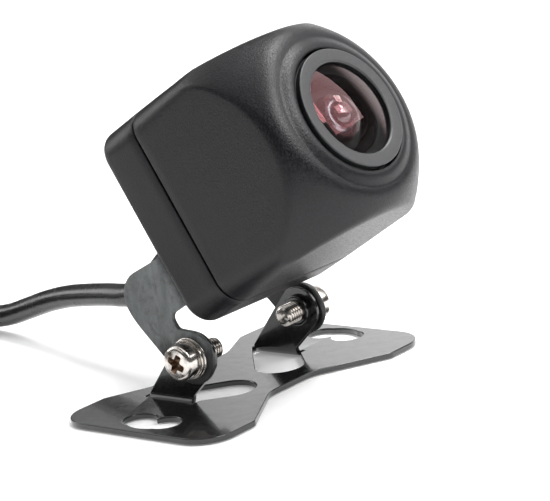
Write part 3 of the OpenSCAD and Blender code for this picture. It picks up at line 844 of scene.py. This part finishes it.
def meridian(angle, curve):
    """Outer section of the front housing at one angle, from the seam to the valley."""
    soft = 1.0         # how far the edge between side and dome is rounded
    for i in range(1, len(curve)):
        if curve[i].x < side_radius(angle, curve[i].y):
            break
    a, b = curve[i - 1], curve[i]
    for _ in range(24):
        middle = (a + b) / 2
        if middle.x < side_radius(angle, middle.y):
            b = middle
        else:
            a = middle
    rest = [b] + curve[i:]
    rear = SEAM_U + SEAM_HALF
    lip = 0.2
    lips = ((lip, 0), (0.06, 0.06), (0, lip))
    out = [(side_radius(angle, rear) - inset, rear + lift) for inset, lift in lips]
    for k in range(1, 15):
        u = rear + lip + (b.y - soft - rear - lip) * k / 14
        out.append((side_radius(angle, u), u))
    start = Vector(out[-1])
    end = along(rest, soft)
    out += [tuple(between(start, b, end, k / 8)) for k in range(1, 8)]
    total = sum((q - p).length for p, q in zip(rest, rest[1:]))
    return out + [tuple(along(rest, soft + (total - soft) * k / 25)) for k in range(26)]


def collar_section():
    """Valley, collar and pocket, shared by every angle."""
    points = []
    for k in range(1, 15):
        t = k / 14
        rise = smooth(t ** 0.8)
        points.append((VALLEY_R - (VALLEY_R - COLLAR_FLAT) * t, VALLEY_U + (FRONT_U - VALLEY_U) * rise))
    return points + [
        (POCKET_R + 0.2, FRONT_U), (POCKET_R + 0.06, FRONT_U - 0.05), (POCKET_R, FRONT_U - 0.2),
        (POCKET_R, POCKET_U + 0.05), (POCKET_R - 0.05, POCKET_U), (BORE_R + 0.05, POCKET_U),
        (BORE_R, POCKET_U - 0.05), (BORE_R, 29.4), (8.1, 29.35), (11.1, 29.35), (11.2, 29.25), (11.2, 26.1),
    ]


def make_front_housing():
    curve = front_curve()
    columns = []
    for angle in ANGLES:
        column = [ring_point(angle, r, u) for r, u in meridian(angle, curve) + collar_section()]
        for u in (26, 20, 14, SEAM_U + SEAM_HALF):
            column.append(ring_point(angle, square_radius(angle, INNER_HALF, INNER_R), u))
        columns.append(column)
    rows = [list(row) for row in zip(*columns)]
    add_mesh("front_shell", grid(rows, closed=True), CASE, "front_housing")


def make_rear_cover():
    back = 5.1
    soft = 1.5
    hole = 3.0
    front = SEAM_U - SEAM_HALF
    sections = [(0.2, front), (0.06, front - 0.06), (0, front - 0.2), (0, 11), (0, 9), (0, back + soft)]
    quarter = [radians(a) for a in range(15, 91, 15)]
    sections += [(soft * (1 - cos(a)), back + soft * (1 - sin(a))) for a in quarter]
    rows = [[ring_point(a, square_radius(a, HALF_W - inset, CORNER_R - 0.8 * inset), u) for a in ANGLES]
            for inset, u in sections]
    rim = [Vector(ring_point(a, hole + 0.2, back)) + Vector((0, EXIT_Y, 0)) for a in ANGLES]
    outer = rows[-1]
    rows += [[tuple(Vector(p).lerp(q, share)) for p, q in zip(outer, rim)] for share in (0.02, 0.97)]
    for r, u in ((hole + 0.2, back), (hole, back + 0.2), (hole, 7.0), (hole + 0.1, 7.1)):
        rows.append([(x, y + EXIT_Y, z) for x, y, z in (ring_point(a, r, u) for a in ANGLES)])
    for inset, u in ((0.3, 7.1), (0, 7.4), (0, 10), (0, front)):
        rows.append([ring_point(a, square_radius(a, INNER_HALF - inset, INNER_R), u) for a in ANGLES])
    cover = add_mesh("rear_shell", grid(rows, closed=True), CASE, "rear_cover")
    well = lathe([(0, 3), (1.95, 3), (1.95, 5.12), (1.9, 5.2), (1.9, 6.4), (1.1, 6.4), (1.1, 9), (0, 9)], 48)
    wells = [moved(well, at(x, y, 0)) for x, y in COVER_SCREWS]
    cut_away(cover, joined(wells), LENS)


def make_bezel():
    section = [
        (7.2, 33.2, 0), (8.65, 33.2, 0.05), (8.65, 34.62, 0.04), (8.52, 34.7, 0.04), (8.52, 35.4, 0.05),
        (8.62, 35.46, 0.04), (8.62, 35.62, 0.06), (8.5, 35.7, 0.04), (6.95, 35.66, 0.1), (6.72, 35.5, 0.08),
        (6.72, 34.55, 0.04), (7.2, 34.55, 0),
    ]
    ring = add_mesh("bezel_face", lathe(rounded(section, 3), 144), BEZEL, "bezel_ring", sharp=50)
    repaint(ring, BARREL, lambda r, u, p, n: r < 6.8 and u < 35.48 or r > 8.45 and u < 35.38)


make_front_housing()
make_rear_cover()
make_bezel()


# ---- optics
def sphere_cap(radius, crown, r0, r1, hollow=False, steps=20):
    """Section of a spherical face from one radius to another; crown is its height on the axis."""
    points = []
    for i in range(steps + 1):
        r = r0 + (r1 - r0) * i / steps
        sag = radius - sqrt(radius * radius - r * r)
        points.append((r, crown + sag if hollow else crown - sag))
    return points


def add_glass(name, part, material):
    return add_mesh(name + "_element", part, material, name + "_lens", sharp=30)


def make_optics():
    front = sphere_cap(20, 36.3, 0, 6.62)
    front += [(6.66, 35.1), (6.66, 34.5), (7.1, 34.5), (7.1, 31.68), (7.02, 31.6)]
    front += sphere_cap(6.2, 34.5, 5.2, 0, steps=28)
    glass = add_glass("front", lathe(front, 128), FRONT_GLASS)
    repaint(glass, BARREL, lambda r, u, p, n: r > 6.64 or (r > 5.21 and u < 31.8))
    barrel = [
        (7.15, 33.15), (7.15, 31.55), (5.2, 31.5), (4.6, 31.2), (4, 31.1), (2.9, 32.1), (2.5, 32.35),
        (2.15, 32.35), (1.9, 32.1), (1.9, 31), (2.2, 30.7), (2.2, 27.6), (3.3, 27.6), (3.3, 19),
        (6, 19), (6, 29.4), (8, 29.4), (8, 32.25), (7.95, 32.3), (7.3, 32.3), (7.3, 33.15),
    ]
    shell = add_mesh("barrel_shell", lathe(barrel), BARREL, "lens_barrel", sharp=20)
    repaint(shell, BARREL_RIM, lambda r, u, p, n: r < 3.1 and u > 32.11)
    second = sphere_cap(2.3, 33.7, 0, 1.8) + [
        (1.85, 32.1), (1.85, 31), (2.15, 30.6), (2.15, 27.55), (3.28, 27.55), (3.28, 25.15), (0, 25.15)]
    third = sphere_cap(9, 22.6, 0, 3.28, True) + [(3.28, 24.85), (0, 24.85)]
    rear = sphere_cap(9, 22.15, 0, 3.28) + [(3.28, 20), (0, 20)]
    inner = (("second", second, 1.81, 25.2), ("third", third, 3.25, 0), ("rear", rear, 3.25, 0))
    for name, profile, edge, low in inner:
        glass = add_glass(name, lathe(profile), INNER_GLASS)
        repaint(glass, BARREL, lambda r, u, p, n: r > edge and u > low)


make_optics()


# ---- foot
SHEET = 0.8            # thickness of the foot and the yoke
EDGE = 0.13            # rounding of the sheet's edges
PLATE_IN = 12.4        # where each tab's bend starts
BEND_OUT = 1.4         # outer radius of that bend
TAB_R = 3.4
TAB_HEIGHT = 7.4       # of the tilt axis, and so of each tab's round end
BLANK_X = 12.8         # a blank's x is this less the height it reaches once bent


def tab_end(grow):
    """Outline of the upright tab's round end, from back to front, a little larger all round."""
    centre = (-1.4, TAB_HEIGHT)
    back = (7.9 + grow, BEND_OUT)
    front = (-grow, BEND_OUT)
    r = TAB_R + grow
    return arc(centre, r, tangent_angle(back, centre, r, 1), 360 + tangent_angle(front, centre, r, -1), 40)


def tongue(grow=0):
    """The flat blank of the right tab, from its back foot round its tip to its front foot."""
    return [(BLANK_X - z, y, 0) for y, z, _ in tab_end(grow)]


def slot_loop():
    """The narrow slot round the right blank, clockwise, with a nick past each end of the bend."""
    outer = [(PLATE_IN, 8.5, 0.22), (PLATE_IN - 1.2, 8.5, 0.22)] + tongue(0.15)
    outer += [(PLATE_IN - 1.2, -0.6, 0.22), (PLATE_IN, -0.6, 0.22)]
    inner = [(PLATE_IN, 0, 0.15), (PLATE_IN - 1, 0, 0)] + tongue()[::-1]
    inner += [(PLATE_IN - 1, 7.9, 0), (PLATE_IN, 7.9, 0.15)]
    loop = rounded(outer + inner)
    area = sum(a[0] * b[1] - b[0] * a[1] for a, b in zip(loop, loop[1:] + loop[:1]))
    return loop[::-1] if area > 0 else loop


def wing_hole():
    """Two overlapping lobes with one wider arc on the outer side."""
    middle = 20.6
    loop = []
    for dx, dy in circle(0, 0, 1, 120):
        best = 0
        for cx, cy, r in ((20.3, 2.2, 2.4), (20.3, -2.2, 2.4), (18.7, 0, 4.6)):
            b = dx * (middle - cx) - dy * cy
            gap = (middle - cx) ** 2 + cy ** 2 - r * r
            if b * b - gap < 0:
                continue
            reach = -b + sqrt(b * b - gap)
            if r < 4 or middle + dx * reach > 19.6:
                best = max(best, reach)
        loop.append((middle + dx * best, dy * best))
    return loop


def mirrored(loop):
    return [(-x, y) for x, y in loop][::-1]


def foot_outline():
    half = [(24.6, -14, 5), (24.6, 14, 4.8), (15, 14, 1.2), (8, 10.6, 6)]
    left = [(-x, y, r) for x, y, r in half][::-1]
    front = [(-15.4, -14, 1.2), (-4.8, -7.9, 6), (4.8, -7.9, 6), (15.4, -14, 1.2)]
    return rounded(front + half + left, 12)


def bent_foot(part, blank):
    """Stands each tongue up about its bend."""
    verts = []
    for x, y, z in part[0]:
        side = 1 if x > 0 else -1
        run = PLATE_IN - abs(x)
        if run <= 0 or not inside(abs(x), y, blank):
            verts.append((x, y, z))
            continue
        rho = BEND_OUT - z
        turn = radians(90 * min(run, 1))
        height = BEND_OUT - rho * cos(turn) + max(run - 1, 0)
        verts.append((side * (PLATE_IN - rho * sin(turn)), y, height))
    return verts, part[1]


def on_both_sides(part, turned=IDENTITY):
    """The part on the right end of the tilt axis, and its mirror image on the left end."""
    return joined([moved(part, ON_PIVOT @ turned), moved(part, MIRROR @ ON_PIVOT @ turned)])


def make_foot():
    holes = [wing_hole(), mirrored(wing_hole()), slot_loop(), mirrored(slot_loop())]
    flat = slab(foot_outline(), holes, 0, SHEET, EDGE)
    cuts = [side * (PLATE_IN - k / 8) for k in range(9) for side in (-1, 1)]
    flat = cut_across(flat, cuts)
    blank = [(PLATE_IN, 7.97), (PLATE_IN - 1, 7.97)] + [(x, y) for x, y, _ in tongue(0.07)]
    blank += [(PLATE_IN - 1, -0.07), (PLATE_IN, -0.07)]
    plate = bent_foot(flat, blank)
    boss = lathe(rounded([(1.52, 10.2, 0.1), (2.25, 10.2, 0.22), (2.25, 11.05, 0), (1.52, 11.05, 0)], 4), 64)
    add_mesh("foot", joined([plate, on_both_sides(boss)]), PAINT, "base_plate", IDENTITY, 45, "base")


# ---- yoke
YOKE_IN = 10.2         # where the web ends and each ear's bend starts
YOKE_BEND = 2.4        # outer radius of that bend
BEND_RUN = 3.14        # length of sheet taken up by each bend
EAR_START = YOKE_IN + BEND_RUN
BEND_U = 5.1 - YOKE_BEND
EAR_R = 3.8            # radius of each ear's round end, and of the notch for the cable
EAR_HOLE_R = 1.58


def yoke_outline():
    """The yoke's flat pattern: along the developed sheet, and up from the tilt axis."""
    def ear(u, v, r):
        return (EAR_START + BEND_U - u, v, r)

    back = (-5.9, 7.4)
    rise = 1.5         # the notch's centre above the web's top edge
    notch_half = sqrt(EAR_R ** 2 - rise ** 2)
    right = [ear(2.7, 6.4, 0), ear(0.3, 6.4, 1), ear(0.3, 4.3, 0.8)]
    right += [ear(*p) for p in arc((0, 0), EAR_R, tangent_angle(back, (0, 0), EAR_R, 1), 360 + 49, 32)[::-1]]
    right += [ear(-5.9, 7.4, 2), ear(-6.2, 9, 4), ear(-6.6, 14.5, 4), ear(2.7, 13.9, 0)]
    start = degrees(asin(-rise / EAR_R))
    notch = arc((0, 15.4), EAR_R, start, -180 - start, 24)
    left = [(-x, y, r) for x, y, r in right][::-1]
    return rounded(right + [(notch_half + 1, 13.9, 0)] + notch + [(-notch_half - 1, 13.9, 0)] + left, 8)


def bent_yoke(part):
    """Folds both ears forward about their bends."""
    verts = []
    for s, v, z in part[0]:
        side = 1 if s > 0 else -1
        run = abs(s) - YOKE_IN
        rho = YOKE_BEND - z
        if run <= 0:
            verts.append((s, -(BEND_U + rho), v))
            continue
        turn = radians(90 * min(run / BEND_RUN, 1))
        u = BEND_U + rho * cos(turn) - max(run - BEND_RUN, 0)
        verts.append((side * (YOKE_IN + rho * sin(turn)), -u, v))
    return verts, part[1]


def make_yoke():
    bore_s = EAR_START + BEND_U
    holes = [circle(side * bore_s, 0, EAR_HOLE_R) for side in (1, -1)]
    flat = slab(yoke_outline(), holes, 0, SHEET, EDGE)
    cuts = [side * (YOKE_IN + BEND_RUN * k / 12) for k in range(13) for side in (-1, 1)]
    add_mesh("yoke", bent_yoke(cut_across(flat, cuts)), STAINED_AND_SHADED, "yoke_bracket", HEAD, 45)


make_foot()
make_yoke()


# ---- fasteners
def threaded(r, depth, pitch, start, end, steps=48, rows_per_turn=10):
    """A screw thread as one helical skin that narrows to nothing at its start."""
    rows = []
    first = int((start / pitch - 1) * rows_per_turn)
    last = int((end / pitch + 1) * rows_per_turn)
    for j in range(first, last + 1):
        row = []
        for i in range(steps + 1):
            z = pitch * (j / rows_per_turn + i / steps)
            phase = (j / rows_per_turn) % 1
            crest = min(1, max(0, 1.6 - abs(phase - 0.5) * 4.2))
            held = min(max(z, start), end)
            fade = min(1, (held - start) / 0.35)
            radius = r - depth + depth * crest * fade - 0.12 * (1 - min(1, (held - start) / 0.2))
            row.append(polar(radius, 2 * pi * i / steps, held))
        rows.append(row)
    return grid(rows, around=False)


def cross_bit(size, width, depth):
    """A tapered cross with rounded inner corners, to cut a recess with; its mouth is at zero height."""
    w = width / 2
    s = size / 2
    quarter = [(s, -w, w * 0.5), (s, w, w * 0.5), (w, w, w * 0.45)]
    corners = []
    for k in range(4):
        turn = Matrix.Rotation(radians(90 * k), 2)
        for x, y, r in quarter:
            p = turn @ Vector((x, y))
            corners.append((p.x, p.y, r))
    outline = rounded(corners, 4)
    levels = [(1.25, 1.0), (1.0, 0.0), (0.62, -depth * 0.8), (0.2, -depth)]
    rows = [[(x * k, y * k, z) for x, y in outline] for k, z in levels]
    return grid(rows, caps=True)


def pan_profile(r, h, low):
    """Section of a pan head with a rounded edge, that stands on the height low."""
    points = [(0, low), (r - 0.12, low), (r - 0.03, low + 0.04), (r, low + 0.14), (r, low + h - 0.85)]
    for k in range(1, 9):
        a = radians(80 * k / 8)
        points.append((r - 0.75 + 0.75 * cos(a), low + h - 0.85 + 0.75 * sin(a)))
    return points + [(r * 0.35, low + h - 0.02), (0, low + h)]


def make_pivot_screws():
    for side, flip, angle in (("right", IDENTITY, 61), ("left", MIRROR, 28)):
        place = flip @ ON_PIVOT @ spin(angle, "Z")
        upright = place.inverted().to_3x3()

        def in_recess(r, z, p, normal):
            n = (upright @ normal).normalized()
            return r < 1.9 and z > 14.2 and (n.x * p.x + n.y * p.y < -0.02 * r or n.z < 0.7)

        head = lathe(pan_profile(2.55, 2.3, 13.5))
        screw = add_mesh("pivot_screw_head_" + side, head, NICKEL, "pivot_screws", place, 40, "base")
        cut_away(screw, moved(cross_bit(2.9, 1.0, 1.3), at(0, 0, 15.78)), place, 32)
        repaint(screw, RECESS, in_recess, place)
        shank = lathe([(0, 10.1), (1.45, 10.1), (1.47, 10.3), (1.47, 13.55), (0, 13.55)], 48)
        core = lathe([(0, 7.3), (1.0, 7.3), (1.22, 7.5), (1.24, 10.2), (0, 10.2)], 48)
        shape = joined([threaded(1.5, 0.27, 0.5, 7.3, 10.2), shank, core])
        add_mesh("pivot_screw_thread_" + side, shape, NICKEL, "pivot_screws", place, 50, "base")


def split_ring(r_out, r_in, low, high, gap):
    """A spring washer: a ring with a slanted split and its ends a hair apart."""
    rows = []
    steps = 90
    section = rounded([(r_in, 0, 0.06), (r_out, 0, 0.12), (r_out, 1, 0.12), (r_in, 1, 0.06)], 3)
    for i in range(steps + 1):
        t = i / steps
        row = []
        for r, z in section:
            height = low + (high - low) * z
            a = radians(gap / 2 + (360 - gap) * t) + 0.12 * (z - 0.5)
            row.append(polar(r, a, height))
        rows.append(row)
    return grid(rows, caps=True)


def make_washers():
    flat = lathe(rounded([(1.6, 12.6, 0.05), (2.95, 12.6, 0.1), (2.95, 13, 0.16), (1.6, 13, 0.05)], 4))
    split = split_ring(2.8, 1.65, 13.01, 13.49, 10)
    for name, shape in (("flat", on_both_sides(flat)), ("spring", on_both_sides(split, spin(70, "Z")))):
        add_mesh(name + "_washer_pair", shape, NICKEL, name + "_washers", IDENTITY, 40, "base")


def small_screw(r, length, head_r, head_h):
    """Pan head outwards below zero, shank along +Z."""
    head = [(head_r * a, -head_h * b) for a, b in ((0, 1), (0.45, 1), (0.8, 0.86), (0.96, 0.5))]
    shank = [(head_r, -0.12), (head_r - 0.05, 0), (r, 0), (r, length - 0.4), (r * 0.5, length), (0, length)]
    return lathe(head + shank, 48)


def make_casing_screws():
    corners = [(x, y, 6.4) for x, y in COVER_SCREWS]
    for name, places, size, node in (
        ("bracket_screw", [(x, 9.4 - LENS_V, 4.3) for x in (-8, 8)], (0.95, 2.4, 1.9, 1), "bracket_screws"),
        ("cover_screw", corners, (0.95, 11, 1.75, 1.1), "housing_screws"),
    ):
        head_r, head_h = size[2:]
        for i, place in enumerate(places):
            matrix = LENS @ at(*place) @ spin(25 + 40 * i, "Z")
            screw = add_mesh(f"{name}_{i + 1}", small_screw(*size), BLACK_OXIDE, node, matrix)
            bit = cross_bit(head_r * 1.25, head_r * 0.36, 0.75)
            cut_away(screw, moved(bit, at(0, 0, -head_h) @ spin(180, "X")), matrix, 32)


make_pivot_screws()
make_washers()
make_casing_screws()


# ---- cable exit
def make_gland():
    at_exit = LENS @ at(0, EXIT_Y, 0)
    gland = [(0, 3, 0), (3.2, 3, 0.1), (3.5, 3.4, 0.2), (3.5, 5.1, 0.05), (2.98, 5.1, 0),
             (2.98, 8.98, 0.1), (0, 8.98, 0)]
    add_mesh("gland_body", lathe(rounded(gland), 72), PLUG, "cable_gland", at_exit)
    long = 5.5
    low = 5.1 - 2.1 - long
    relief = [(0, low, 0), (2.0, low, 0.12)]
    for i in range(4):
        z = low + 0.75 + i * 1.05
        r = 2.15 + i * 0.14
        for grow, up in ((0, -0.3), (-0.22, -0.14), (-0.22, 0.14), (0.04, 0.3)):
            relief.append((r + grow, z + up, 0.06))
    relief += [(2.85, low + 4.9, 0.3), (2.9, low + long, 0), (0, low + long, 0)]
    add_mesh("relief_boot", lathe(rounded(relief, 3), 72), CABLE, "strain_relief", at_exit)


make_gland()

CAD_LOOKS = {
    "rear_gasket": RUBBER, "front_seal": RUBBER, "aperture_stop": BARREL, "lens_spacer": BARREL,
    "lens_retainer": BARREL, "lens_holder": BARREL, "ir_filter": FILTER_GLASS, "image_sensor": sensor_die(),
    "sensor_board": circuit_board(), "board_screws": NICKEL, "board_chips": CHIP, "board_socket": NYLON,
    "inner_wires": cable_cores(), "gland_nut": PLUG,
}
for node, look in CAD_LOOKS.items():
    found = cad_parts[node]
    for piece in found if isinstance(found, (list, tuple)) else [found]:
        piece.data.materials.clear()
        piece.data.materials.append(look)


# ---- floor and light
def make_floor():
    mesh = bpy.data.meshes.new("floor")
    reach = 4.0
    corners = [(x * reach, y * reach, 0) for x, y in ((-1, -1), (1, -1), (1, 1), (-1, 1))]
    mesh.from_pydata(corners, [], [(0, 1, 2, 3)])
    mesh.materials.append(floor_paper())
    floor = placed("floor", mesh)
    floor.location.z = -0.0002


def direction(azimuth, elevation):
    """A unit vector: azimuth 0 is +Y and 90 is +X, in degrees."""
    a = radians(azimuth)
    e = radians(elevation)
    return Vector((sin(a) * cos(e), cos(a) * cos(e), sin(e)))


AIM = Vector((0, -0.01, 0.025))
LIGHT_REACH = 0.9      # each light's distance from the point it is aimed at


def softbox(name, azimuth, elevation, size, radiance, roll=0):
    """A rectangular light that faces the object, as bright as it says whatever its size."""
    data = bpy.data.lights.new(name, "AREA")
    data.shape = "RECTANGLE"
    data.size, data.size_y = size
    data.energy = radiance * pi * size[0] * size[1]
    light = placed(name, data)
    away = direction(azimuth, elevation)
    light.location = AIM + away * LIGHT_REACH
    turn = away.to_track_quat("Z", "Y") @ Quaternion((0, 0, 1), radians(roll))
    light.rotation_euler = turn.to_euler()


ROOM = 0.09            # radiance of the dim side of the room
BACKDROP = 1.7         # radiance of the pale backdrop behind the object
SOFTBOXES = [
    ("key", 139, 39, (0.57, 0.55), 3.4, -9),
    ("front", 175, 48, (0.4, 0.42), 11.0),
    ("front_left", -130, 70, (0.45, 0.42), 1.2),
    ("left", -60, 40, (0.8, 0.42), 0.7),
    ("back", 0, 45, (0.9, 0.42), 1.2),
    ("low_back", -15, 20, (0.42, 0.42), 3.5),
    ("right", 100, 66, (0.5, 0.3), 13.0),
    ("top", 0, 78, (0.5, 0.42), 1.2),
]


def make_world():
    """A room with a pale lit backdrop on one side, fixed to the object's frame."""
    world = bpy.data.worlds.new("world")
    world.use_nodes = True
    tree = world.node_tree
    coord = tree.nodes.new("ShaderNodeTexCoord")
    dot = tree.nodes.new("ShaderNodeVectorMath")
    dot.operation = "DOT_PRODUCT"
    dot.inputs[1].default_value = direction(75, 6)
    tree.links.new(coord.outputs["Generated"], dot.inputs[0])
    ramp = tree.nodes.new("ShaderNodeMapRange")
    ramp.interpolation_type = "SMOOTHSTEP"
    for socket, value in (("From Min", 0.8), ("From Max", 0.934), ("To Min", ROOM), ("To Max", BACKDROP)):
        ramp.inputs[socket].default_value = value
    tree.links.new(dot.outputs["Value"], ramp.inputs["Value"])
    tree.links.new(ramp.outputs["Result"], tree.nodes["Background"].inputs["Strength"])
    tree.nodes["Background"].inputs["Color"].default_value = (1, 1, 1, 1)
    bpy.context.scene.world = world


def make_light():
    make_world()
    for box in SOFTBOXES:
        softbox(*box)
    bpy.context.scene.view_settings.view_transform = "Standard"


make_floor()
make_light()
